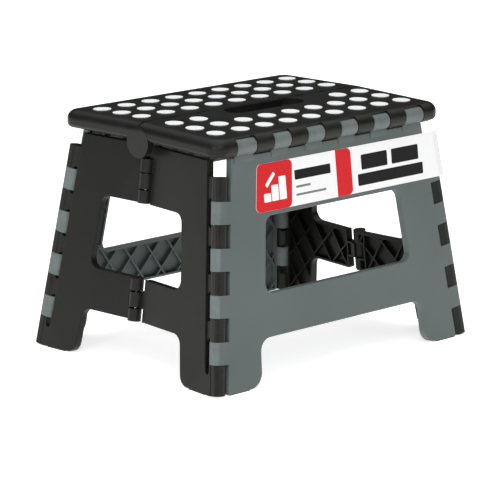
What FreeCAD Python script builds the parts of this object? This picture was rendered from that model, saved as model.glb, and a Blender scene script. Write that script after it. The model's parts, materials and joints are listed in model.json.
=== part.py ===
import FreeCAD, Part
import math
import os
import Sketcher

# Folding step stool, 221.5 mm high, standing on the floor at z = 0 with its middle on the z axis.
# Two grey panels (front and back) lean in towards each other, each side is two black halves that
# fold inwards, and the seat is two black halves that fold up along the middle line.
# Front and back are the same piece turned half round, and so are the opposite side halves.

Vector = FreeCAD.Vector
Rotation = FreeCAD.Rotation
Placement = FreeCAD.Placement

X_AXIS = Vector(1, 0, 0)
Y_AXIS = Vector(0, 1, 0)
Z_AXIS = Vector(0, 0, 1)
HALF_TURN = Placement(Vector(0, 0, 0), Rotation(Z_AXIS, 180))
IDENTITY = Placement()
# turns a cylinder, which is built along its own z, to lie along the named axis
ALONG = {"x": Rotation(Y_AXIS, 90), "y": Rotation(X_AXIS, -90), "z": Rotation()}

DRIVING = [
    # the whole stool
    ("stool_height", 221.5),
    ("front_foot", 123.29),       # middle line to the front panel's outer face, at floor level
    ("front_slope", 0.125),       # how far that face leans in for each mm of height
    ("side_foot", 159.49),        # middle line to the side's outer face at the corner, at floor level
    ("side_slope", 0.1285),       # lean of the corner for each mm up the front panel
    ("corner_angle", 86.0),       # angle that a side half turns through to lie flat
    ("crown_angle", 1.2),         # fall of each seat half from the middle to its edge
    # moulded panels
    ("panel_depth", 7.0),
    ("skin", 2.2),
    ("rib_width", 1.6),
    ("rib_setback", 0.6),
    ("rib_pitch", 21.0),
    ("edge_round", 0.8),
    ("pad_height", 0.8),
    # corner hinges between the panels and the side halves
    ("corner_inset", 7.2),        # hinge axis behind both outer faces
    ("panel_barrel", 7.2),
    ("side_barrel", 6.9),
    ("barrel_gap", 0.2),          # half the gap between neighbouring barrels
    ("corner_pitch", 20.15),
    ("corner_first", 27.92),      # top of the lowest side barrel, along the corner
    ("corner_top", 190.12),
    ("panel_edge", 7.3),          # panel's side edge from the corner axis
    ("side_edge", 8.4),           # side half's edge from the corner axis
    ("knuckle_round", 3.0),       # rounding of the knuckles' outer corner
    ("web_sink", 1.5),            # side half's webs lie this far below its outer face
    ("bite", 2.6),
    ("bite_drop", 5.5),           # the lowest web's bite is drawn out this far down
    ("corner_pin", 1.5),
    ("pin_play", 0.05),
    # front and back panels: heights up the panel's own face
    ("bar_bottom", 42.1),
    ("window_bottom", 80.5),
    ("window_top", 147.8),
    ("window_half", 101.4),
    ("window_taper", 0.1198),
    ("window_round", 9.0),
    ("leg_half", 103.9),
    ("leg_taper", 0.0595),
    ("leg_round", 12.0),
    ("foot_round", 14.0),
    # hinge between a panel and its seat half
    ("seat_inset", 1.0),          # axis behind the panel's outer face
    ("seat_rise", 17.6),          # top face above the middle hinge
    ("seat_drop", 9.6),           # axis below the seat's top face
    ("seat_barrel", 7.4),
    ("seat_round", 7.9),          # the seat's own round front edge about the same axis
    ("panel_top_gap", 8.4),       # panel's top edge below the axis
    ("lip_reach", 1.5),
    ("tab_drop", 13.4),           # foot of the low tab under each panel barrel, below the axis
    ("tab_rise", 0.8),
    ("seat_pin", 1.75),
    ("seat_pin_half", 119.0),
    # side halves: heights above the floor on the outer face
    ("side_top", 199.8),
    ("side_window_top", 147.7),
    ("side_window_bottom", 81.7),
    ("side_bar_bottom", 43.5),
    ("side_window_edge", 44.2),   # measured from the corner axis
    ("side_leg_top", 45.0),
    ("side_leg_foot", 44.0),
    ("side_window_round", 9.0),
    ("side_leg_round", 10.0),
    ("side_foot_round", 11.0),
    # hinge between the two halves of a side
    ("centre_outboard", 1.0),     # axis outside the outer face
    ("centre_setback", 2.0),      # plate edge from the axis
    ("centre_barrel", 6.0),
    ("centre_notch", 10.0),       # clear width from the axis beside the other half's barrels
    ("upper_notch", 7.4),         # the same at the upper hinge, where the halves draw apart
    ("centre_pin", 1.25),
    ("centre_socket", 4.9),       # wide bore that lets the folding halves drift apart
    # seat halves
    ("seat_half", 140.0),
    ("seat_depth", 16.0),
    ("seat_skin", 2.4),
    ("seat_corner", 14.0),
    ("seat_edge", 8.5),
    ("seat_lower_edge", 4.5),
    ("seam_gap", 0.25),
    ("seat_rib_pitch", 24.0),
    ("fold_barrel", 6.0),
    ("fold_notch", 6.4),
    ("lug", 14.0),
    ("lug_notch", 14.5),
    ("lug_from", 133.5),
    ("fold_pin", 1.5),
    ("slot_half", 46.0),
    ("slot_near", 2.5),
    ("slot_width", 23.0),
    ("slot_wall", 2.0),
    ("dot_radius", 8.2),
    ("dot_pitch", 28.93),
    ("dot_first", 21.3),
    ("dot_row", 26.7),
    ("dot_sink", 1.0),
    ("dot_rise", 0.5),
    # label on the front panel
    ("label_thick", 0.35),
    ("label_left_top", -90.2),
    ("label_left_bottom", -95.6),
    ("label_bottom", 151.7),
    ("label_top", 193.7),
    ("label_round", 5.0),
    ("label_bend", 20.0),         # angle that the end stands back from the front at the corner
    ("label_end", 9.0),
]

# barrels of the side's centre hinge: height range, and whether they belong to the first kind of half
CENTRE_BARRELS = [
    (43.5, 54.5, False),
    (56.5, 69.5, True),
    (71.0, 81.5, False),
    (148.5, 160.0, False),
    (161.5, 175.0, True),
    (176.0, 188.0, False),
]
CENTRE_GAP = 0.8
CENTRE_PINS = {"lower": (43.5, 81.5), "upper": (148.5, 188.0)}
# the panel's barrels in the seat hinge, as distances from the middle
SEAT_BARRELS = [(10.3, 31.0), (51.5, 72.0), (93.0, 116.0)]
# barrels of the seat's middle hinge, along the seat half's own x
FOLD_BARRELS = [(54.0, 65.4), (77.6, 89.0), (101.2, 112.6), (-77.2, -65.8), (-100.8, -89.4)]
FOLD_GAP = 0.4
# short dark slots along the seam, as middles along x
SEAM_SLOTS = [-131.0, -98.0, -65.0, 58.0, 87.0, 113.0]

doc = FreeCAD.newDocument("folding_step_stool")
sheet = doc.addObject("Spreadsheet::Sheet", "Sizes")
nodes = []


class Dimensions:
    """The sheet's numbers, each under its own name."""
    count = 0


dim = Dimensions()


def store(name, value):
    """Write one plain number in the next cell and name the cell."""
    dim.count += 1
    cell = "A%d" % dim.count
    sheet.set(cell, "%.9g" % value)
    sheet.setAlias(cell, name)
    setattr(dim, name, float("%.9g" % value))


class CellNames(dict):
    """Turns {name} in a formula into the sheet's cell of that name."""

    def __missing__(self, name):
        return "Sizes." + name


def bind(item, prop, size):
    """Tie a property to a formula of cells, or set it to a plain number."""
    if isinstance(size, str):
        item.setExpression(prop, size.format_map(CellNames()))
    else:
        setattr(item, prop, size)


# ---- shapes -------------------------------------------------------------------------------------

def box(name, frame, corner, extent):
    """A box whose low corner is at a point of a frame."""
    item = doc.addObject("Part::Box", name)
    for prop, size in zip(("Length", "Width", "Height"), extent):
        bind(item, prop, size)
    item.Placement = frame.multiply(Placement(Vector(*corner), Rotation()))
    return item


def cylinder(name, frame, start, axis, radius, length):
    """A cylinder that starts at a point of a frame and runs along one of its axes."""
    item = doc.addObject("Part::Cylinder", name)
    bind(item, "Radius", radius)
    bind(item, "Height", length)
    item.Placement = frame.multiply(Placement(Vector(*start), ALONG[axis]))
    return item


def fuse(name, items):
    if len(items) == 1:
        return items[0]
    item = doc.addObject("Part::MultiFuse", name)
    item.Shapes = items
    return item


def common(name, first, second):
    item = doc.addObject("Part::MultiCommon", name)
    item.Shapes = [first, second]
    return item


def gather(name, items):
    """Separate pieces kept together without joining them."""
    item = doc.addObject("Part::Compound", name)
    item.Links = items
    return item


def cut(name, base, tools):
    item = doc.addObject("Part::Cut", name)
    item.Base = base
    item.Tool = fuse(name + "_tools", tools)
    item.Refine = True
    return item


def node(name, item, frame):
    """Give a finished piece its name and its place."""
    item.Label = name
    item.Placement = frame
    nodes.append(item)
    return item


def twin_nodes(piece, places):
    """Two pieces from one mould: each is the same moulding in its own place."""
    for name, frame in places:
        node(name, gather(name, [piece]), frame)


# ---- moulded plates -----------------------------------------------------------------------------

def outline(body, name, corners, level):
    """A closed polygon on the body's XY plane; every corner is a pair of formulas."""
    sketch = body.newObject("Sketcher::SketchObject", name)
    plane = [item for item in body.Origin.OriginFeatures if item.Role == "XY_Plane"][0]
    sketch.AttachmentSupport = [(plane, "")]
    sketch.MapMode = "FlatFace"
    sketch.AttachmentOffset = Placement(Vector(0, 0, level), Rotation())
    count = len(corners)
    start = []
    for index in range(count):
        turn = 2 * math.pi * index / count
        start.append(Vector(90 * math.cos(turn), 90 * math.sin(turn), 0))
    for index in range(count):
        line = Part.LineSegment(start[index], start[(index + 1) % count])
        sketch.addGeometry(line, False)
    for index in range(count):
        sketch.addConstraint(Sketcher.Constraint("Coincident", index, 2, (index + 1) % count, 1))
    for index, (across, up) in enumerate(corners):
        for kind, formula, value in (("DistanceX", across, start[index].x),
                                     ("DistanceY", up, start[index].y)):
            rule = sketch.addConstraint(Sketcher.Constraint(kind, -1, 1, index, 1, value))
            bind_rule = "Constraints[%d]" % rule
            sketch.setExpression(bind_rule, formula.format_map(CellNames()))
    return sketch


def upright_edges(shape, sketch, picks):
    """Names of the edges that stand on the picked corners of a sketch."""
    names = []
    for number, edge in enumerate(shape.Edges, 1):
        first = edge.Vertexes[0].Point
        last = edge.Vertexes[-1].Point
        if abs(first.x - last.x) > 0.001 or abs(first.y - last.y) > 0.001:
            continue
        for pick in picks:
            corner = sketch.Geometry[pick].StartPoint
            if abs(corner.x - first.x) < 0.01 and abs(corner.y - first.y) < 0.01:
                names.append("Edge%d" % number)
    return names


def round_edges(body, name, base, edges, radius):
    """A fillet on named edges of the body's last feature."""
    if not edges:
        raise RuntimeError(name + ": no edge to round")
    item = body.newObject("PartDesign::Fillet", name)
    item.Base = (base, edges)
    bind(item, "Radius", radius)
    doc.recompute()
    return item


def plate(name, corners, level, rounds, window, window_round):
    """A flat plate from `level` up by the panel depth, with rounded corners and a window."""
    body = doc.addObject("PartDesign::Body", name)
    sketch = outline(body, name + "_outline", corners, level)
    pad = body.newObject("PartDesign::Pad", name + "_pad")
    pad.Profile = sketch
    bind(pad, "Length", "{panel_depth}")
    doc.recompute()
    last = pad
    if window:
        hole = outline(body, name + "_window", window, level)
        pocket = body.newObject("PartDesign::Pocket", name + "_pocket")
        pocket.Profile = hole
        pocket.Reversed = True
        bind(pocket, "Length", "{panel_depth}")
        doc.recompute()
        if pocket.Shape.Volume > pad.Shape.Volume - 1:
            raise RuntimeError(name + ": the window cut nothing")
        last = pocket
        picks = range(len(window))
        edges = upright_edges(last.Shape, hole, picks)
        last = round_edges(body, name + "_window_round", last, edges, window_round)
    for index, (picks, radius) in enumerate(rounds):
        edges = upright_edges(last.Shape, sketch, picks)
        last = round_edges(body, "%s_round%d" % (name, index + 1), last, edges, radius)
    body.Tip = last
    doc.recompute()
    return body


def flat_face(shape, height):
    """Name of the largest flat face at a height."""
    best = None
    for number, face in enumerate(shape.Faces, 1):
        span = face.BoundBox
        if abs(span.ZMin - height) < 0.001 and abs(span.ZMax - height) < 0.001:
            if best is None or face.Area > best[0]:
                best = (face.Area, "Face%d" % number)
    return best[1]


def hollow(name, body, open_height, wall):
    """The plate as a shell that is open on one face."""
    item = doc.addObject("Part::Thickness", name)
    item.Faces = (body, [flat_face(body.Shape, open_height)])
    item.Mode = 0
    item.Join = 2
    bind(item, "Value", wall)
    doc.recompute()
    return item


def soften(name, base, height):
    """Small rounding of all the edges in the outer face."""
    edges = []
    for number, edge in enumerate(base.Shape.Edges, 1):
        span = edge.BoundBox
        if abs(span.ZMin - height) < 0.001 and abs(span.ZMax - height) < 0.001:
            edges.append((number, dim.edge_round, dim.edge_round))
    item = doc.addObject("Part::Fillet", name)
    item.Base = base
    item.Edges = edges
    doc.recompute()
    return item


def lattice(name, flat, middle, half_sizes, low, high, pitch, angle):
    """Crossing ribs inside a plate: two sets of bars at plus and minus an angle."""
    sets = []
    reach = math.hypot(*half_sizes)
    turn = math.radians(angle)
    count = int((half_sizes[0] * math.sin(turn) + half_sizes[1] * math.cos(turn)) / pitch)
    for mark, sign in (("down", -1), ("up", 1)):
        frame = Placement(Vector(middle[0], middle[1], low), Rotation(Z_AXIS, sign * angle))
        bars = []
        for step in range(-count, count + 1):
            corner = (-reach, step * pitch - dim.rib_width / 2, 0)
            bars.append(box("%s_%s%d" % (name, mark, step + count), frame, corner,
                            (2 * reach, "{rib_width}", high - low)))
        sets.append(common("%s_%s" % (name, mark), gather("%s_%s_bars" % (name, mark), bars), flat))
    return sets


def floor_cut(name, frame):
    """Everything below the top of the foot pads, as seen from a panel's frame."""
    world = frame.inverse()
    return box(name, world, (-300, -300, -50), (600, 600, 50 + dim.pad_height))


# ---- shared geometry ----------------------------------------------------------------------------

for cell_name, cell_value in DRIVING:
    store(cell_name, cell_value)

lean = math.atan(dim.front_slope)
corner_lean = math.atan(dim.side_slope)
crown = math.radians(dim.crown_angle)
fold = math.radians(dim.corner_angle)

store("fold_height", dim.stool_height - dim.seat_rise)
axis_rise = dim.seat_rise - dim.seat_drop
# distance along a seat half from the middle hinge to the panel hinge, where panel and seat meet
reach_top = dim.front_foot - dim.seat_inset / math.cos(lean)
reach_top -= dim.front_slope * (dim.fold_height + axis_rise * math.cos(crown))
reach_top -= axis_rise * math.sin(crown)
store("seat_reach", reach_top / (math.cos(crown) - dim.front_slope * math.sin(crown)))
seat_axis_y = -dim.seat_reach * math.cos(crown) - axis_rise * math.sin(crown)
seat_axis_z = dim.fold_height - dim.seat_reach * math.sin(crown) + axis_rise * math.cos(crown)
# the same hinge measured up the panel's face, and the panel's top edge
up_panel = (seat_axis_y + dim.front_foot) * math.sin(lean) + seat_axis_z * math.cos(lean)
store("seat_axis_up", up_panel)
store("panel_top", up_panel - dim.panel_top_gap)
# corner axis: distance from the middle at the panel's foot line
store("corner_half", dim.side_foot
      - dim.corner_inset / math.tan(fold / 2) / math.cos(corner_lean))
store("panel_side", dim.corner_half - dim.panel_edge / math.cos(corner_lean))
store("foot_line", dim.pad_height / math.cos(lean))
# where the label leaves the panel's plane, at the panel's foot line
store("label_turn", dim.corner_half
      + (dim.corner_inset - dim.knuckle_round) / math.cos(corner_lean))

front_frame = Placement(Vector(0, -dim.front_foot, 0),
                        Rotation(X_AXIS, 90 - math.degrees(lean)))
back_frame = HALF_TURN.multiply(front_frame)
front_seat_frame = Placement(Vector(0, 0, dim.fold_height), Rotation(X_AXIS, dim.crown_angle))
back_seat_frame = HALF_TURN.multiply(front_seat_frame)


def corner_frame(side):
    """Frame on a corner axis inside a panel's frame: y runs up the axis, z points outwards."""
    turn = Rotation(Z_AXIS, side * math.degrees(corner_lean))
    return Placement(Vector(side * dim.corner_half, 0, -dim.corner_inset), turn)


def knuckle(name, frame, side, hand, start, length):
    """The filled outer corner of a corner barrel: flush with both faces, with a small rounding."""
    reach = dim.corner_inset
    core = dim.corner_inset - dim.knuckle_round
    pieces = []
    for mark, wide, deep in (("wide", reach, core), ("deep", core, reach)):
        corner = (0 if side > 0 else -wide, start, 0 if hand > 0 else -deep)
        pieces.append(box("%s_%s" % (name, mark), frame, corner, (wide, length, deep)))
    pieces.append(cylinder(name + "_round", frame, (side * core, start, hand * core), "y",
                           "{knuckle_round}", length))
    return pieces


def side_frame(side):
    """Frame of a front side half: x runs from the corner to the middle, y up the corner axis."""
    turn = dim.corner_angle if side < 0 else 180 - dim.corner_angle
    hinge = Placement(Vector(0, 0, 0), Rotation(Y_AXIS, turn))
    return front_frame.multiply(corner_frame(side)).multiply(hinge)


# the first kind of half has its outer face on the low side of its frame, the second on the high side
left_front_frame = side_frame(-1)
right_front_frame = side_frame(1)
right_back_frame = HALF_TURN.multiply(left_front_frame)
left_back_frame = HALF_TURN.multiply(right_front_frame)

# level lines on a side half's outer face: distance up the axis = start + scale * height + rise * x
origin = left_front_frame.Base
across = left_front_frame.Rotation.multVec(X_AXIS)
upward = left_front_frame.Rotation.multVec(Y_AXIS)
outward = left_front_frame.Rotation.multVec(Z_AXIS).multiply(-1)
store("level_scale", 1 / upward.z)
store("level_rise", -across.z / upward.z)
store("level_start", -(origin.z + dim.corner_inset * outward.z) / upward.z)
# the middle of the side, where y = 0, at the depth of the centre hinge's axis
centre_out = dim.corner_inset + dim.centre_outboard
store("centre_start", -(origin.y + centre_out * outward.y) / across.y)
store("centre_slope", upward.y / across.y)


def centre_up(height):
    """Distance up the corner axis at which a level line meets the plate's centre edge."""
    edge = dim.centre_start - dim.centre_setback
    level = dim.level_start + dim.level_scale * height
    return (level + dim.level_rise * edge) / (1 + dim.level_rise * dim.centre_slope)


for line in ("side_top", "side_window_top", "side_window_bottom", "side_bar_bottom"):
    store(line + "_up", centre_up(getattr(dim, line)))


def centre_frame(hand):
    """Frame on the centre hinge's axis inside a side half: y runs up the axis."""
    turn = Rotation(Z_AXIS, math.degrees(math.atan(dim.centre_slope)))
    return Placement(Vector(dim.centre_start, 0, hand * centre_out), turn)


centre_world = left_front_frame.multiply(centre_frame(-1))
centre_rise = centre_world.Rotation.multVec(Y_AXIS).z


def along_centre(height):
    """Distance along the centre hinge's axis of a height above the floor."""
    return (height - centre_world.Base.z) / centre_rise


doc.recompute()

# ---- front and back panels ----------------------------------------------------------------------

PANEL_OUTLINE = [
    ("-{panel_side} + {side_slope} * {foot_line}", "{foot_line}"),
    ("-{leg_half} + {leg_taper} * {foot_line}", "{foot_line}"),
    ("-{leg_half} + {leg_taper} * {bar_bottom}", "{bar_bottom}"),
    ("{leg_half} - {leg_taper} * {bar_bottom}", "{bar_bottom}"),
    ("{leg_half} - {leg_taper} * {foot_line}", "{foot_line}"),
    ("{panel_side} - {side_slope} * {foot_line}", "{foot_line}"),
    ("{panel_side} - {side_slope} * {panel_top}", "{panel_top}"),
    ("-{panel_side} + {side_slope} * {panel_top}", "{panel_top}"),
]
PANEL_WINDOW = [
    ("-{window_half} + {window_taper} * {window_bottom}", "{window_bottom}"),
    ("{window_half} - {window_taper} * {window_bottom}", "{window_bottom}"),
    ("{window_half} - {window_taper} * {window_top}", "{window_top}"),
    ("-{window_half} + {window_taper} * {window_top}", "{window_top}"),
]


def panel_corner_zones():
    """Stretches of the corner axis that belong to the panel: every second one."""
    first = dim.corner_first
    return [(first + 2 * index * dim.corner_pitch, first + (2 * index + 1) * dim.corner_pitch)
            for index in range(4)]


def panel(name):
    """A grey panel: a ribbed shell with barrels on both sides and along its top."""
    flat = plate(name + "_plate", PANEL_OUTLINE, -dim.panel_depth,
                 [((2, 3), "{leg_round}"), ((1, 4), "{foot_round}")],
                 PANEL_WINDOW, "{window_round}")
    shell = soften(name + "_soft", hollow(name + "_shell", flat, -dim.panel_depth, "-{skin}"), 0)
    pieces = [shell]
    pieces += lattice(name + "_rib", flat, (0, dim.panel_top / 2), (145, dim.panel_top / 2),
                      -dim.panel_depth + dim.rib_setback, -dim.skin / 2, dim.rib_pitch, 52)
    cuts = [floor_cut(name + "_floor", front_frame)]
    for side in (-1, 1):
        hinge = corner_frame(side)
        mark = "%s_%s" % (name, "left" if side < 0 else "right")
        for index, (low, high) in enumerate(panel_corner_zones()):
            start = low + dim.barrel_gap
            length = "{corner_pitch} - 2 * {barrel_gap}"
            pieces.append(cylinder("%s_barrel%d" % (mark, index), hinge, (0, start, 0), "y",
                                   "{panel_barrel}", length))
            pieces += knuckle("%s_knuckle%d" % (mark, index), hinge, side, 1, start, length)
            width = dim.panel_edge + dim.skin
            inner = dim.corner_inset - dim.panel_depth
            left = 0 if side < 0 else -width
            pieces.append(box("%s_web%d" % (mark, index), hinge, (left, start, inner),
                              ("{panel_edge} + {skin}", length, "{panel_depth}")))
        cuts.append(cylinder(mark + "_bore", hinge, (0, 1, 0), "y",
                             "{corner_pin} + {pin_play}", 200))
    for side in (-1, 1):
        for index, (near, far) in enumerate(SEAT_BARRELS):
            mark = "%s_top_%s%d" % (name, "left" if side < 0 else "right", index)
            low = min(side * near, side * far) + dim.barrel_gap
            length = far - near - 2 * dim.barrel_gap
            pieces.append(cylinder(mark + "_barrel", IDENTITY,
                                   (low, dim.seat_axis_up, -dim.seat_inset), "x",
                                   "{seat_barrel}", length))
            pieces.append(box(mark + "_web", IDENTITY,
                              (low, dim.panel_top - dim.skin, -dim.panel_depth),
                              (length, "{panel_top_gap} + {skin}", "{panel_depth}")))
            pieces.append(box(mark + "_tab", IDENTITY, (low, dim.seat_axis_up - dim.tab_drop, -1),
                              (length, "{tab_drop}", "1 + {tab_rise}")))
    cuts.append(cylinder(name + "_top_bore", IDENTITY,
                         (-dim.seat_half, dim.seat_axis_up, -dim.seat_inset), "x",
                         "{seat_pin} + {pin_play}", "2 * {seat_half}"))
    return cut(name, fuse(name + "_whole", pieces), cuts)


twin_nodes(panel("panel"), (("front_panel", front_frame), ("back_panel", back_frame)))

# ---- side halves --------------------------------------------------------------------------------

EDGE_LEVEL = "{level_start} + {level_scale} * %s + {level_rise} * %s"
CENTRE_EDGE = "{centre_start} - {centre_setback} - {centre_slope} * {%s_up}"


def level_corner(across_size, height_size):
    """A corner of the side outline at a distance from the corner axis and a height."""
    return (across_size, EDGE_LEVEL % (height_size, across_size))


def centre_corner(line):
    """A corner of the side outline on its centre edge, on a named level line."""
    return (CENTRE_EDGE % line, "{%s_up}" % line)


SIDE_OUTLINE = [
    level_corner("{side_edge}", "{pad_height}"),
    level_corner("{side_leg_foot}", "{pad_height}"),
    level_corner("{side_leg_top}", "{side_bar_bottom}"),
    centre_corner("side_bar_bottom"),
    centre_corner("side_window_bottom"),
    level_corner("{side_window_edge}", "{side_window_bottom}"),
    level_corner("{side_window_edge}", "{side_window_top}"),
    centre_corner("side_window_top"),
    centre_corner("side_top"),
    level_corner("{side_edge}", "{side_top}"),
]


def side_corner_zones():
    """Stretches of the corner axis that belong to the side half."""
    first = dim.corner_first
    zones = [(1.0, first)]
    for index in range(4):
        low = first + (2 * index + 1) * dim.corner_pitch
        high = low + dim.corner_pitch
        zones.append((low, min(high, dim.corner_top)))
    zones[-1] = (zones[-1][0], dim.corner_top)
    return zones


def side_half(name, frame, hand, first_kind):
    """A black half of a side; `hand` is the side of its frame that its outer face is on."""
    outer = hand * dim.corner_inset
    inner = hand * (dim.corner_inset - dim.panel_depth)
    low_face = min(outer, inner)
    flat = plate(name + "_plate", SIDE_OUTLINE, low_face,
                 [((5, 6), "{side_window_round}"), ((2,), "{side_leg_round}"),
                  ((1,), "{side_foot_round}")], None, None)
    shell = soften(name + "_soft", hollow(name + "_shell", flat, inner, "-{skin}"), outer)
    rib_low = min(inner + hand * dim.rib_setback, outer - hand * dim.skin / 2)
    rib_high = max(inner + hand * dim.rib_setback, outer - hand * dim.skin / 2)
    inside = []
    pieces = [shell]
    pieces += lattice(name + "_rib", flat, (60, 105), (55, 105), rib_low, rib_high,
                      dim.rib_pitch, 52)
    cuts = [floor_cut(name + "_floor", frame)]

    # corner barrels, each joined to the plate by a web with a small round bite at each end; the
    # webs are sunk below the outer face, except at the foot
    corner = IDENTITY
    zones = side_corner_zones()
    for index, (low, high) in enumerate(zones):
        start = low + dim.barrel_gap
        length = high - low - 2 * dim.barrel_gap
        mark = "%s_corner%d" % (name, index)
        pieces.append(cylinder(mark + "_barrel", corner, (0, start, 0), "y",
                               "{side_barrel}", length))
        pieces += knuckle(mark + "_knuckle", corner, -1, hand, start, length)
        sink = dim.web_sink if index > 0 else 0
        pieces.append(box(mark + "_web", corner, (1, start, low_face + (sink if hand < 0 else 0)),
                          ("{side_edge} + {skin} - 1", length, dim.panel_depth - sink)))
        for end, bitten in ((start, index > 0), (start + length, index < len(zones) - 1)):
            if bitten:
                cuts.append(cylinder("%s_bite%d" % (mark, end), corner, (5.6, end, low_face - 8),
                                     "z", "{bite}", 24))
        if index == 0:
            end = start + length - dim.bite_drop
            cuts.append(cylinder(mark + "_bite_foot", corner, (5.6, end, low_face - 8), "z",
                                 "{bite}", 24))
            cuts.append(box(mark + "_bite_slot", corner, (5.6 - dim.bite, end, low_face - 8),
                            ("2 * {bite}", "{bite_drop}", 24)))
    cuts.append(cylinder(name + "_corner_bore", corner, (0, 3, 0), "y",
                         "{corner_pin} + {pin_play}", 200))

    # centre hinge: own barrels, and a walled notch around each barrel of the other half
    centre = centre_frame(hand)
    plate_low = min(-hand * (dim.centre_outboard + dim.panel_depth), -hand * dim.centre_outboard)
    web_low = min(-hand * (dim.centre_outboard + dim.panel_depth), 0)
    for index, (low, high, first_owner) in enumerate(CENTRE_BARRELS):
        start = along_centre(low)
        end = along_centre(high)
        mark = "%s_centre%d" % (name, index)
        if first_owner == first_kind:
            pieces.append(cylinder(mark + "_barrel", centre, (0, start, 0), "y",
                                   "{centre_barrel}", end - start))
            pieces.append(box(mark + "_web", centre, (-5, start, web_low),
                              (5, end - start, "{panel_depth} + {centre_outboard}")))
            bore = "{centre_socket}" if first_kind else "{centre_pin} + {pin_play}"
            cuts.append(cylinder(mark + "_bore", centre, (0, start - 3, 0), "y",
                                 bore, end - start + 6))
        else:
            start -= CENTRE_GAP
            end += CENTRE_GAP
            depth = dim.upper_notch if low > dim.side_window_top else dim.centre_notch
            inside.append(box(mark + "_frame", centre,
                              (-depth - dim.rib_width, start - dim.rib_width, plate_low),
                              (depth + dim.rib_width, end - start + 2 * dim.rib_width,
                               "{panel_depth}")))
            cuts.append(box(mark + "_notch", centre, (-depth, start, -20),
                            (depth + 10, end - start, 40)))
    # a straight rib beside the hinge, as high as the plate
    inside.append(box(name + "_centre_rib", centre,
                      (-dim.centre_notch - dim.rib_width, along_centre(30), rib_low
                       - hand * centre_out), ("{rib_width}", 180, rib_high - rib_low)))
    pieces.append(common(name + "_walls", fuse(name + "_inside", inside), flat))
    return cut(name, fuse(name + "_whole", pieces), cuts)


twin_nodes(side_half("first_side", left_front_frame, -1, True),
           (("left_front_side", left_front_frame), ("right_back_side", right_back_frame)))
twin_nodes(side_half("second_side", right_front_frame, 1, False),
           (("right_front_side", right_front_frame), ("left_back_side", left_back_frame)))

# ---- seat halves --------------------------------------------------------------------------------

SEAT_OUTLINE = [
    ("-{seat_half}", "-{seat_reach} - {seat_round}"),
    ("{seat_half}", "-{seat_reach} - {seat_round}"),
    ("{seat_half}", "-{seam_gap}"),
    ("-{seat_half}", "-{seam_gap}"),
]


def seat_plate(name):
    """The seat half's outer form: round front corners and round upper and lower edges."""
    body = doc.addObject("PartDesign::Body", name)
    low = dim.seat_rise - dim.seat_depth
    sketch = outline(body, name + "_outline", SEAT_OUTLINE, low)
    pad = body.newObject("PartDesign::Pad", name + "_pad")
    pad.Profile = sketch
    bind(pad, "Length", "{seat_depth}")
    doc.recompute()
    edges = upright_edges(pad.Shape, sketch, (0, 1))
    last = round_edges(body, name + "_corners", pad, edges, "{seat_corner}")
    for mark, height, radius in (("upper", dim.seat_rise, "{seat_edge}"),
                                 ("lower", low, "{seat_lower_edge}")):
        rim = []
        for number, edge in enumerate(last.Shape.Edges, 1):
            span = edge.BoundBox
            level = abs(span.ZMin - height) < 0.001 and abs(span.ZMax - height) < 0.001
            if level and span.YMin < -dim.seam_gap - 0.001:
                rim.append("Edge%d" % number)
        last = round_edges(body, "%s_%s_edge" % (name, mark), last, rim, radius)
    body.Tip = last
    doc.recompute()
    return body


def stadium(name, radius, low, high):
    """A long round-ended block around the handle slot."""
    middle = -dim.slot_near - dim.slot_width / 2
    reach = dim.slot_half - dim.slot_width / 2
    block = box(name + "_block", IDENTITY, (-reach, middle - radius, low),
                (2 * reach, 2 * radius, high - low))
    left = cylinder(name + "_left", IDENTITY, (-reach, middle, low), "z", radius, high - low)
    right = cylinder(name + "_right", IDENTITY, (reach, middle, low), "z", radius, high - low)
    return [block, left, right]


def dot_places(with_handle):
    """Middles of the dots on a seat half; the row at the seam makes room for the handle slot."""
    places = []
    for row in range(3):
        for column in range(-4, 5):
            if with_handle and row == 0 and abs(column) <= 2:
                continue
            places.append((column * dim.dot_pitch, -dim.dot_first - row * dim.dot_row))
    return places


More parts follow.
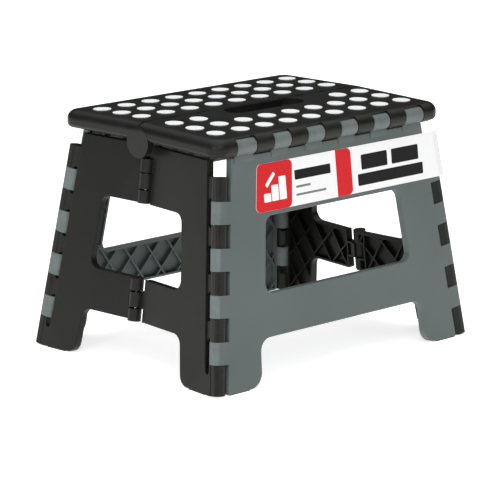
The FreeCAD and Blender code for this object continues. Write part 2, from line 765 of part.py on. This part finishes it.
def seat_half(name, frame, with_handle):
    """A black seat half with its front edge, its hinge barrels and the hinge's end lug."""
    flat = seat_plate(name + "_plate")
    low = dim.seat_rise - dim.seat_depth
    shell = hollow(name + "_shell", flat, low, "-{seat_skin}")
    inside = []
    ribs = lattice(name + "_rib", flat, (0, -dim.seat_reach / 2), (135, dim.seat_reach / 2),
                   low + 1, dim.seat_rise - dim.seat_skin / 2, dim.seat_rib_pitch, 45)
    axis_y = -dim.seat_reach
    rail_back = axis_y + dim.panel_top_gap + dim.seat_skin
    front = axis_y - dim.seat_round
    inside.append(box(name + "_rail", IDENTITY, (-dim.seat_half, front, low),
                      ("2 * {seat_half}", rail_back - front, "{seat_depth}")))
    pieces = [shell] + ribs
    cuts = []
    slot_radius = dim.slot_width / 2
    if with_handle:
        inside += stadium(name + "_slot_wall", slot_radius + dim.slot_wall, low,
                          dim.seat_rise - 0.5)
        cuts += stadium(name + "_slot", slot_radius, low - 5, dim.seat_rise + 5)

    # front edge: round below, full barrels under it, notches for the panel's barrels
    edge_block = box(name + "_edge_block", IDENTITY, (-dim.seat_half - 1, axis_y - 20, -10),
                     ("2 * {seat_half} + 2", 20, 10 + axis_rise))
    edge_core = cylinder(name + "_edge_core", IDENTITY, (-dim.seat_half - 2, axis_y, axis_rise),
                         "x", "{seat_round}", "2 * {seat_half} + 4")
    cuts.append(cut(name + "_edge_trim", edge_block, [edge_core]))
    gaps = []
    for side in (-1, 1):
        for near, far in SEAT_BARRELS:
            gaps.append((min(side * near, side * far), max(side * near, side * far)))
    gaps.sort()
    solid_from = -dim.seat_half + dim.seat_corner
    for index, (left, right) in enumerate(gaps + [(dim.seat_half - dim.seat_corner, None)]):
        pieces.append(cylinder("%s_front_barrel%d" % (name, index), IDENTITY,
                               (solid_from, axis_y, axis_rise), "x", "{seat_round}",
                               left - solid_from))
        solid_from = right
    for index, (left, right) in enumerate(gaps):
        width = right - left + 2 * dim.barrel_gap
        left -= dim.barrel_gap
        cuts.append(box("%s_notch%d" % (name, index), IDENTITY, (left, axis_y - 20, -10),
                        (width, "20 + {panel_top_gap}", 10 + axis_rise + dim.seat_round)))
        cuts.append(box("%s_open%d" % (name, index), IDENTITY, (left, axis_y - 20, -10),
                        (width, 20 - dim.lip_reach, 40)))
    cuts.append(cylinder(name + "_front_bore", IDENTITY,
                         (-dim.seat_pin_half - 0.5, axis_y, axis_rise), "x",
                         "{seat_pin} + {pin_play}", "2 * {seat_pin_half} + 1"))

    # middle hinge: own barrels with a foot up into the plate, notches for the other half's
    for index, (left, right) in enumerate(FOLD_BARRELS):
        mark = "%s_fold%d" % (name, index)
        pieces.append(cylinder(mark + "_barrel", IDENTITY, (left, 0, 0), "x",
                               "{fold_barrel}", right - left))
        pieces.append(box(mark + "_foot", IDENTITY, (left, -12, low),
                          (right - left, 12 - dim.seam_gap, 7)))
        cuts.append(cylinder(mark + "_notch", IDENTITY, (-right - FOLD_GAP, 0, 0), "x",
                             "{fold_notch}", right - left + 2 * FOLD_GAP))
    # end lug on one end, the space for the other half's lug on the other
    lug_length = dim.seat_half - dim.lug_from
    lug = cylinder(name + "_lug_round", IDENTITY, (dim.lug_from, 0, 0), "x", "{lug}", lug_length)
    # the lug's top follows the round upper edge of the seat's end
    bend_x = dim.seat_half - dim.seat_edge
    bend_z = dim.seat_rise - dim.seat_edge
    block = box(name + "_lug_block", IDENTITY, (bend_x, -20, bend_z), (20, 40, 20))
    core = cylinder(name + "_lug_core", IDENTITY, (bend_x, -21, bend_z), "y", "{seat_edge}", 42)
    pieces.append(cut(name + "_lug", lug, [cut(name + "_lug_trim", block, [core])]))
    cuts.append(cylinder(name + "_lug_notch", IDENTITY, (-dim.seat_half - 1, 0, 0), "x",
                         "{lug_notch}", lug_length + 1 + FOLD_GAP))
    for side in (-1, 1):
        start = 53 if side > 0 else -138.5
        cuts.append(cylinder("%s_fold_bore_%s" % (name, "left" if side < 0 else "right"),
                             IDENTITY, (start, 0, 0), "x", "{fold_pin} + {pin_play}", 85.5))

    for index, (place_x, place_y) in enumerate(dot_places(with_handle)):
        cuts.append(cylinder("%s_dot_seat%d" % (name, index), IDENTITY,
                             (place_x, place_y, dim.seat_rise - dim.dot_sink), "z",
                             "{dot_radius} + 0.05", 5))
    if with_handle:
        for index, middle in enumerate(SEAM_SLOTS):
            cuts.append(box("%s_seam%d" % (name, index), IDENTITY,
                            (middle - 5, -1.6, dim.seat_rise - 1.2), (10, 3, 3)))
    pieces.append(common(name + "_walls", fuse(name + "_inside", inside), flat))
    whole = cut(name + "_body", fuse(name + "_whole", pieces), cuts)
    if with_handle:
        # the thin divider across the slot stands below the top face
        divider = box(name + "_divider", IDENTITY,
                      (31, -dim.slot_near - dim.slot_width - 0.5, low + 2),
                      (2, "{slot_width} + 1", "{seat_depth} - 6"))
        whole = fuse(name + "_finished", [whole, divider])
    return node(name, whole, frame)


seat_half("top_front_half", front_seat_frame, True)
seat_half("top_back_half", back_seat_frame, False)


def dots(name, frame, with_handle):
    """The soft raised dots of a seat half."""
    items = []
    for index, (place_x, place_y) in enumerate(dot_places(with_handle)):
        items.append(cylinder("%s_dot%d" % (name, index), IDENTITY,
                              (place_x, place_y, dim.seat_rise - dim.dot_sink), "z",
                              "{dot_radius}", "{dot_sink} + {dot_rise}"))
    return node(name, fuse(name, items), frame)


dots("top_front_dots", front_seat_frame, True)
dots("top_back_dots", back_seat_frame, False)

# ---- pins ---------------------------------------------------------------------------------------


def pin(name, frame, start, axis, radius, length):
    """A plain round pin."""
    item = cylinder(name, frame, start, axis, radius, length)
    item.Label = name
    nodes.append(item)
    return item


for name, frame in (("top_front_pin", front_seat_frame), ("top_back_pin", back_seat_frame)):
    pin(name, frame, (-dim.seat_pin_half, -dim.seat_reach, axis_rise), "x",
        "{seat_pin}", "2 * {seat_pin_half}")
for name, start in (("top_centre_left_pin", -138.0), ("top_centre_right_pin", 54.0)):
    pin(name, front_seat_frame, (start, 0, 0), "x", "{fold_pin}", 84)
for name, frame in (("left_front_pin", left_front_frame), ("right_front_pin", right_front_frame),
                    ("left_back_pin", left_back_frame), ("right_back_pin", right_back_frame)):
    pin(name, frame, (0, 4, 0), "y", "{corner_pin}", "{corner_top} - 5")
for side, frame in (("left", left_back_frame), ("right", right_front_frame)):
    for group, (low, high) in CENTRE_PINS.items():
        start = along_centre(low + 0.5)
        pin("%s_side_%s_pin" % (side, group), frame.multiply(centre_frame(1)), (0, start, 0), "y",
            "{centre_pin}", along_centre(high - 0.5) - start)

# ---- foot pads ----------------------------------------------------------------------------------


def foot_pad(name, frame, left, right, outer):
    """A pad under a foot: it runs along the panel's level line, just inside its outline."""
    along = frame.Rotation.multVec(X_AXIS)
    up = frame.Rotation.multVec(Y_AXIS)
    level = along.sub(Vector(up).multiply(along.z / up.z))
    level.normalize()
    # the point of the outer face at the pad's top, where x is zero
    point = frame.multVec(Vector(0, 0, outer))
    point = point.add(Vector(up).multiply((dim.pad_height - point.z) / up.z))
    inward = Z_AXIS.cross(level)
    if inward.dot(Vector(0, 0, 0).sub(point)) < 0:
        inward = inward.multiply(-1)
    across_start = 0.6
    width = dim.panel_depth - 1.2
    corner_point = point.add(Vector(level).multiply(left)).add(Vector(inward).multiply(across_start))
    turn = Rotation(level, inward, Z_AXIS, "ZXY")
    item = box(name, Placement(Vector(corner_point.x, corner_point.y, 0), turn), (0, 0, 0),
               (right - left, width, "{pad_height}"))
    if level.cross(inward).z < 0:
        item.Placement = Placement(Vector(corner_point.x, corner_point.y, 0).add(
            Vector(level).multiply(right - left)), Rotation(level.multiply(-1), inward, Z_AXIS, "ZXY"))
    return item


def panel_pads(name, frame):
    """Both pads of a grey panel."""
    far = dim.panel_side - 1.5
    near = dim.leg_half + dim.foot_round + 0.8
    pads = [foot_pad(name + "_left", frame, -far, -near, 0),
            foot_pad(name + "_right", frame, near, far, 0)]
    item = fuse(name, pads)
    item.Label = name
    nodes.append(item)


panel_pads("front_foot_pads", front_frame)
panel_pads("back_foot_pads", back_frame)
for name, frame, hand in (("left_front_foot_pad", left_front_frame, -1),
                          ("left_back_foot_pad", left_back_frame, 1),
                          ("right_front_foot_pad", right_front_frame, 1),
                          ("right_back_foot_pad", right_back_frame, -1)):
    pad_item = foot_pad(name, frame, dim.side_edge + 1.5,
                        dim.side_leg_foot - dim.side_foot_round - 1, hand * dim.corner_inset)
    pad_item.Label = name
    nodes.append(pad_item)

# ---- label --------------------------------------------------------------------------------------

LABEL_OUTLINE = [
    ("{label_left_bottom}", "{label_bottom}"),
    ("{label_turn} - {side_slope} * {label_bottom}", "{label_bottom}"),
    ("{label_turn} - {side_slope} * {label_top}", "{label_top}"),
    ("{label_left_top}", "{label_top}"),
]


def label(name):
    """A thin sheet on the front panel; its end stands back a little past the right corner."""
    body = doc.addObject("PartDesign::Body", name + "_flat")
    sketch = outline(body, name + "_outline", LABEL_OUTLINE, 0)
    sheet_pad = body.newObject("PartDesign::Pad", name + "_pad")
    sheet_pad.Profile = sketch
    bind(sheet_pad, "Length", "{label_thick}")
    doc.recompute()
    edges = upright_edges(sheet_pad.Shape, sketch, (0, 3))
    body.Tip = round_edges(body, name + "_corners", sheet_pad, edges, "{label_round}")
    # the bend is a sector about the middle of the knuckles' rounding, the end a straight strip
    core = dim.corner_inset - dim.knuckle_round
    bend = corner_frame(1).multiply(Placement(Vector(core, 0, core), Rotation()))
    tubes = []
    for mark, radius in (("outer", "{knuckle_round} + {label_thick}"),
                         ("inner", "{knuckle_round}")):
        item = cylinder("%s_%s" % (name, mark), bend, (0, 100, 0), "y", radius, 120)
        item.Placement = item.Placement.multiply(Placement(Vector(0, 0, 0),
                                                           Rotation(Z_AXIS, -90)))
        bind(item, "Angle", "{label_bend}")
        tubes.append(item)
    band = cut(name + "_band", tubes[0], [tubes[1]])
    turned = bend.multiply(Placement(Vector(0, 0, 0), Rotation(Y_AXIS, dim.label_bend)))
    strip = box(name + "_strip", turned, (0, 100, dim.knuckle_round),
                ("{label_end}", 120, "{label_thick}"))
    slab = box(name + "_slab", IDENTITY, (90, dim.label_bottom, -20),
               (80, "{label_top} - {label_bottom}", 30))
    end = common(name + "_end", fuse(name + "_past", [band, strip]), slab)
    return node(name, fuse(name, [body, end]), front_frame)


label("label")

# ---- finish -------------------------------------------------------------------------------------

doc.recompute()
for item in doc.Objects:
    if "Invalid" in item.State or "Error" in item.State:
        raise RuntimeError("%s is in state %s" % (item.Name, item.State))
for item in nodes:
    if item.Shape.isNull() or not item.Shape.isValid():
        raise RuntimeError(item.Label + " has no valid shape")
    if item.Shape.Volume < 1 or not item.Shape.Solids:
        raise RuntimeError(item.Label + " holds no solid")

os.makedirs("parts", exist_ok=True)
for item in nodes:
    item.Shape.exportStep("parts/%s.step" % item.Label)
    extent = item.Shape.BoundBox
    print("%-24s solids %2d volume %9.1f  x %7.2f %7.2f  y %7.2f %7.2f  z %7.2f %7.2f" % (
        item.Label, len(item.Shape.Solids), item.Shape.Volume,
        extent.XMin, extent.XMax, extent.YMin, extent.YMax, extent.ZMin, extent.ZMax))
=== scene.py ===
import bmesh
import bpy
import json
import math
from mathutils import Matrix, Vector


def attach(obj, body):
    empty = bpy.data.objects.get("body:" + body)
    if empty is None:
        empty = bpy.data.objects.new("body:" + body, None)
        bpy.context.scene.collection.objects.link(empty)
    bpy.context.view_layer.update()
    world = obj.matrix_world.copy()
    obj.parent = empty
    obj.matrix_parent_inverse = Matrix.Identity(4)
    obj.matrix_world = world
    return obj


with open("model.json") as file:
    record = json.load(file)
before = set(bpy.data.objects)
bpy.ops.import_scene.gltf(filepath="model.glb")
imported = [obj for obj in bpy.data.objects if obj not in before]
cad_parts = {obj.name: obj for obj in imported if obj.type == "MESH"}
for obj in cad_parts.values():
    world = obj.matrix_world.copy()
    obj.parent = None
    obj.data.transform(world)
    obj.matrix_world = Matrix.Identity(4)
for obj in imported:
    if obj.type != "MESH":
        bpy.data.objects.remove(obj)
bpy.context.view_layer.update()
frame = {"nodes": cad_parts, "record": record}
nodes = frame["nodes"]


def srgb(red, green, blue):
    """Linear colour from 0-255 display values."""
    def linear(value):
        value /= 255
        return value / 12.92 if value <= 0.04045 else ((value + 0.055) / 1.055) ** 2.4
    return (linear(red), linear(green), linear(blue), 1.0)


# ---- node material helpers ------------------------------------------------------------------------

class Maker:
    """Builds one node material."""

    def __init__(self, name):
        self.material = bpy.data.materials.new(name)
        self.material.use_nodes = True
        self.tree = self.material.node_tree
        self.shader = self.tree.nodes["Principled BSDF"]
        self.texcoord = None

    def node(self, kind, **settings):
        item = self.tree.nodes.new(kind)
        for key, value in settings.items():
            setattr(item, key, value)
        return item

    def link(self, source, target):
        self.tree.links.new(source, target)

    def position(self):
        """The piece's own coordinates, in metres."""
        if self.texcoord is None:
            self.texcoord = self.node("ShaderNodeTexCoord")
        return self.texcoord.outputs["Object"]

    def noise(self, scale, detail, rough):
        item = self.node("ShaderNodeTexNoise")
        item.inputs["Scale"].default_value = scale
        item.inputs["Detail"].default_value = detail
        item.inputs["Roughness"].default_value = rough
        self.link(self.position(), item.inputs["Vector"])
        return item.outputs["Fac"]

    def spread(self, value, low, high, out_low, out_high):
        item = self.node("ShaderNodeMapRange")
        item.inputs["From Min"].default_value = low
        item.inputs["From Max"].default_value = high
        item.inputs["To Min"].default_value = out_low
        item.inputs["To Max"].default_value = out_high
        self.link(value, item.inputs["Value"])
        return item.outputs["Result"]

    def mix(self, factor, first, second):
        """Colour mix by a factor socket; first and second are colours or sockets."""
        item = self.node("ShaderNodeMix", data_type="RGBA")
        self.link(factor, item.inputs[0])
        for socket, value in ((item.inputs[6], first), (item.inputs[7], second)):
            if isinstance(value, tuple):
                socket.default_value = value
            else:
                self.link(value, socket)
        return item.outputs[2]

    def multiply(self, first, second):
        item = self.node("ShaderNodeMath", operation="MULTIPLY")
        self.link(first, item.inputs[0])
        self.link(second, item.inputs[1])
        return item.outputs[0]

    def bump(self, height, strength, distance, normal=None):
        item = self.node("ShaderNodeBump")
        item.inputs["Strength"].default_value = strength
        item.inputs["Distance"].default_value = distance
        self.link(height, item.inputs["Height"])
        if normal is not None:
            self.link(normal, item.inputs["Normal"])
        return item.outputs["Normal"]

    def edge_wear(self, reach):
        """0 on flats, rising towards convex edges."""
        surface = self.node("ShaderNodeNewGeometry")
        return self.spread(surface.outputs["Pointiness"], 0.5, 0.5 + reach, 0.0, 1.0)


def moulded_plastic(name, base, lighter, rough_low, rough_high, gloss):
    """Satin moulded polypropylene: fine grain, faint flow marks, paler rubbed edges."""
    make = Maker(name)
    flow = make.noise(9.0, 3.0, 0.5)
    grain = make.noise(2600.0, 2.0, 0.6)
    scuff = make.noise(60.0, 5.0, 0.7)
    tone = make.mix(make.spread(flow, 0.35, 0.65, 0.0, 1.0), base, lighter)
    worn = make.multiply(make.edge_wear(0.08), make.spread(scuff, 0.35, 0.7, 0.1, 0.5))
    pale = tuple(min(1.0, value * 1.9 + 0.01) for value in base[:3]) + (1.0,)
    make.link(make.mix(worn, tone, pale), make.shader.inputs["Base Color"])
    make.link(make.spread(scuff, 0.3, 0.7, rough_low, rough_high), make.shader.inputs["Roughness"])
    fine = make.bump(grain, 0.12, 0.00012)
    make.link(make.bump(flow, 0.08, 0.0006, fine), make.shader.inputs["Normal"])
    make.shader.inputs["Specular IOR Level"].default_value = gloss
    return make.material


grey = moulded_plastic("grey_polypropylene", srgb(86, 95, 93), srgb(91, 100, 98),
                       0.40, 0.52, 0.3)
black = moulded_plastic("black_polypropylene", srgb(20, 21, 18), srgb(25, 26, 23),
                        0.32, 0.42, 0.2)


def rubber(name, base, speck):
    make = Maker(name)
    grain = make.noise(1500.0, 3.0, 0.7)
    dust = make.noise(220.0, 4.0, 0.6)
    make.link(make.mix(make.spread(dust, 0.45, 0.75, 0.0, 0.6), base, speck),
              make.shader.inputs["Base Color"])
    make.link(make.spread(dust, 0.3, 0.7, 0.62, 0.8), make.shader.inputs["Roughness"])
    make.link(make.bump(grain, 0.3, 0.0002), make.shader.inputs["Normal"])
    make.shader.inputs["Specular IOR Level"].default_value = 0.3
    return make.material


def drawn_steel(name):
    make = Maker(name)
    streak = make.noise(900.0, 3.0, 0.6)
    make.link(make.mix(streak, srgb(176, 176, 174), srgb(206, 206, 203)),
              make.shader.inputs["Base Color"])
    make.shader.inputs["Metallic"].default_value = 1.0
    make.link(make.spread(streak, 0.3, 0.7, 0.26, 0.38), make.shader.inputs["Roughness"])
    make.link(make.bump(streak, 0.15, 0.00005), make.shader.inputs["Normal"])
    return make.material


dot_rubber = rubber("dot_rubber", srgb(238, 240, 241), srgb(228, 230, 231))
pad_rubber = rubber("pad_rubber", srgb(38, 38, 37), srgb(52, 52, 50))
steel = drawn_steel("drawn_steel")


def printed_film(name, base, spread):
    """Smooth printed film: almost even colour, faint mottling and slight waviness."""
    make = Maker(name)
    mottle = make.noise(140.0, 4.0, 0.6)
    wave = make.noise(18.0, 2.0, 0.5)
    deeper = tuple(value * spread for value in base[:3]) + (1.0,)
    make.link(make.mix(mottle, base, deeper), make.shader.inputs["Base Color"])
    make.link(make.spread(mottle, 0.3, 0.7, 0.34, 0.46), make.shader.inputs["Roughness"])
    make.link(make.bump(wave, 0.1, 0.0003), make.shader.inputs["Normal"])
    make.shader.inputs["Specular IOR Level"].default_value = 0.15
    return make.material


film = printed_film("label_film", srgb(238, 238, 238), 0.96)
print_white = printed_film("print_white", srgb(238, 238, 238), 0.96)
print_red = printed_film("print_red", srgb(206, 34, 38), 0.93)
print_black = printed_film("print_black", srgb(22, 22, 22), 0.9)
print_grey = printed_film("print_grey", srgb(120, 120, 120), 0.9)

SLOT_MATERIAL = {"grey_plastic": grey, "black_plastic": black, "steel": steel,
                 "dots": dot_rubber, "foot_pads": pad_rubber, "label": film}
for row in frame["record"]["subparts"]:
    item = nodes[row["node"]]
    item.data.materials.clear()
    item.data.materials.append(SLOT_MATERIAL[row["material_slot"]])

# ---- printed label --------------------------------------------------------------------------------

# the front panel's outer face: its foot line, its lean, and the label's thickness on that face
FOOT_Y = -0.12329
LEAN = math.atan(0.125)
FILM_TOP = 0.00035


def on_panel(across, up, above):
    """World point for millimetres across and up the panel's face, and metres above it."""
    across /= 1000
    up /= 1000
    return Vector((across,
                   FOOT_Y + up * math.sin(LEAN) - above * math.cos(LEAN),
                   up * math.cos(LEAN) + above * math.sin(LEAN)))


def rounded(corners, radii, steps=8):
    """Polygon points with each corner replaced by an arc of its own radius."""
    points = []
    count = len(corners)
    for index, (corner, radius) in enumerate(zip(corners, radii)):
        here = Vector(corner)
        to_last = (Vector(corners[index - 1]) - here).normalized()
        to_next = (Vector(corners[(index + 1) % count]) - here).normalized()
        if radius <= 0:
            points.append(here)
            continue
        half = to_last.angle(to_next) / 2
        middle = here + (to_last + to_next).normalized() * (radius / math.sin(half))
        first = here + to_last * (radius / math.tan(half)) - middle
        last = here + to_next * (radius / math.tan(half)) - middle
        for step in range(steps + 1):
            arm = first.lerp(last, step / steps).normalized() * radius
            points.append(middle + arm)
    return points


INK_GAP = 0.000004
INK_THICK = 0.000026


def printed(name, corners, radii, material, layer):
    """One printed shape: a very thin raised film on the label, above `layer` others."""
    bottom = FILM_TOP + INK_GAP + layer * (INK_THICK + INK_GAP)
    top = bottom + INK_THICK
    outline = rounded(corners, radii)
    mesh = bpy.data.meshes.new(name)
    shape = bmesh.new()
    lower = [shape.verts.new(on_panel(point.x, point.y, bottom)) for point in outline]
    upper = [shape.verts.new(on_panel(point.x, point.y, top)) for point in outline]
    shape.faces.new(upper)
    shape.faces.new(list(reversed(lower)))
    for index in range(len(outline)):
        after = (index + 1) % len(outline)
        shape.faces.new((lower[index], lower[after], upper[after], upper[index]))
    bmesh.ops.recalc_face_normals(shape, faces=shape.faces)
    shape.to_mesh(mesh)
    shape.free()
    item = bpy.data.objects.new(name, mesh)
    bpy.context.scene.collection.objects.link(item)
    item.data.materials.append(material)
    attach(item, "front_panel")


def block(left, right, low, high):
    """Corners of an upright block, anticlockwise from its low left."""
    return [(left, low), (right, low), (right, high), (left, high)]


def stroke(start, end, width):
    """Corners of a straight stroke between two points."""
    start = Vector(start)
    end = Vector(end)
    side = (end - start).orthogonal().normalized() * width / 2
    return [tuple(start + side), tuple(start - side), tuple(end - side), tuple(end + side)]


LABEL_LOW = 151.75
LABEL_HIGH = 193.65
BADGE = [(-95.5, LABEL_LOW), (-52.0, LABEL_LOW), (-47.8, LABEL_HIGH), (-90.1, LABEL_HIGH)]
printed("label_badge", BADGE, (4.95, 5, 5, 4.95), print_red, 0)
# a plain flight of three steps below a slanted stroke
STEP_WIDTH = 8.4
STEP_FOOT = LABEL_LOW + 7.95
for index, height in enumerate((7.5, 14.0, 20.5)):
    left = -84.6 + index * STEP_WIDTH + index
    printed("label_badge_step%d" % index,
            block(left, left + STEP_WIDTH, STEP_FOOT, STEP_FOOT + height),
            (0.9,) * 4, print_white, 1)
printed("label_badge_stroke", stroke((-81.2, LABEL_LOW + 21.75), (-70.6, LABEL_LOW + 32.35), 3.4),
        (1.0,) * 4, print_white, 1)
printed("label_strip", block(5.2, 24.4, LABEL_LOW, LABEL_HIGH), (0, 5, 5, 0), print_red, 0)
# plain bars where the label carries print: left and right ends, heights above the label's low edge
PRINTED_BARS = [
    (-46.2, -1.8, 22.65, 31.15, 1.0, print_black),
    (-45.4, -27.6, 15.35, 17.35, 0.6, print_grey),
    (-45.8, -8.8, 8.35, 10.25, 0.6, print_grey),
    (37.0, 70.5, 19.75, 33.35, 1.4, print_black),
    (76.0, 111.0, 19.75, 33.35, 1.4, print_black),
    (31.6, 116.0, 5.75, 16.35, 1.2, print_black),
]
for index, (left, right, low, high, radius, ink) in enumerate(PRINTED_BARS):
    printed("label_bar%d" % index, block(left, right, LABEL_LOW + low, LABEL_LOW + high),
            (radius,) * 4, ink, 0)

# ---- floor, light and camera ----------------------------------------------------------------------

bpy.context.scene.view_settings.view_transform = "Standard"

floor_mesh = bpy.data.meshes.new("floor")
FLOOR_HALF = 9
floor_mesh.from_pydata([(-FLOOR_HALF, -FLOOR_HALF, 0), (FLOOR_HALF, -FLOOR_HALF, 0),
                        (FLOOR_HALF, FLOOR_HALF, 0), (-FLOOR_HALF, FLOOR_HALF, 0)],
                       [], [(0, 1, 2, 3)])
floor = bpy.data.objects.new("floor", floor_mesh)
bpy.context.scene.collection.objects.link(floor)
floor_make = Maker("pale_floor")
floor_make.shader.inputs["Base Color"].default_value = (0.8, 0.8, 0.8, 1)
floor_make.shader.inputs["Roughness"].default_value = 1.0
floor_make.shader.inputs["Specular IOR Level"].default_value = 0.0
floor_make.shader.inputs["Emission Color"].default_value = (1, 1, 1, 1)
floor_make.shader.inputs["Emission Strength"].default_value = 0.72
floor.data.materials.append(floor_make.material)


def studio_world(low, high):
    """White studio: dim towards the horizon, brighter overhead."""
    world = bpy.data.worlds.new("studio")
    world.use_nodes = True
    tree = world.node_tree
    place = tree.nodes.new("ShaderNodeTexCoord")
    split = tree.nodes.new("ShaderNodeSeparateXYZ")
    tree.links.new(place.outputs["Generated"], split.inputs[0])
    ramp = tree.nodes.new("ShaderNodeMapRange")
    ramp.inputs["From Min"].default_value = 0.5
    ramp.inputs["From Max"].default_value = 1.0
    ramp.inputs["To Min"].default_value = low
    ramp.inputs["To Max"].default_value = high
    tree.links.new(split.outputs["Z"], ramp.inputs["Value"])
    tree.links.new(ramp.outputs["Result"], tree.nodes["Background"].inputs["Strength"])
    tree.nodes["Background"].inputs["Color"].default_value = (1, 1, 1, 1)
    bpy.context.scene.world = world


studio_world(0.03, 2.2)


def area_light(name, place, target, size, power):
    data = bpy.data.lights.new(name, "AREA")
    data.energy = power
    data.size = size
    lamp = bpy.data.objects.new(name, data)
    lamp.location = place
    aim = Vector(target) - Vector(place)
    lamp.rotation_euler = aim.to_track_quat("-Z", "Y").to_euler()
    bpy.context.scene.collection.objects.link(lamp)


area_light("key", (-1.4, -1.9, 1.5), (0, 0, 0.1), 1.2, 16)
area_light("glint", (-2.3, -0.7, 0.9), (0, 0, 0.1), 0.25, 12)

camera_data = bpy.data.cameras.new("camera")
camera_data.sensor_width = 36.0
camera_data.lens = 207.15
camera_data.clip_start = 0.05
camera_data.clip_end = 50.0
camera = bpy.data.objects.new("camera", camera_data)
CAMERA_PLACE = (-1.77085, -1.86027, 0.70384)
camera_right = Vector((0.72560, -0.68810, 0.00422))
camera_up = Vector((0.15839, 0.17299, 0.97211))
camera_back = Vector((-0.66964, -0.70469, 0.23450))
turn = Matrix((camera_right, camera_up, camera_back)).transposed().to_4x4()
camera.matrix_world = Matrix.Translation(CAMERA_PLACE) @ turn
bpy.context.scene.collection.objects.link(camera)
bpy.context.scene.camera = camera
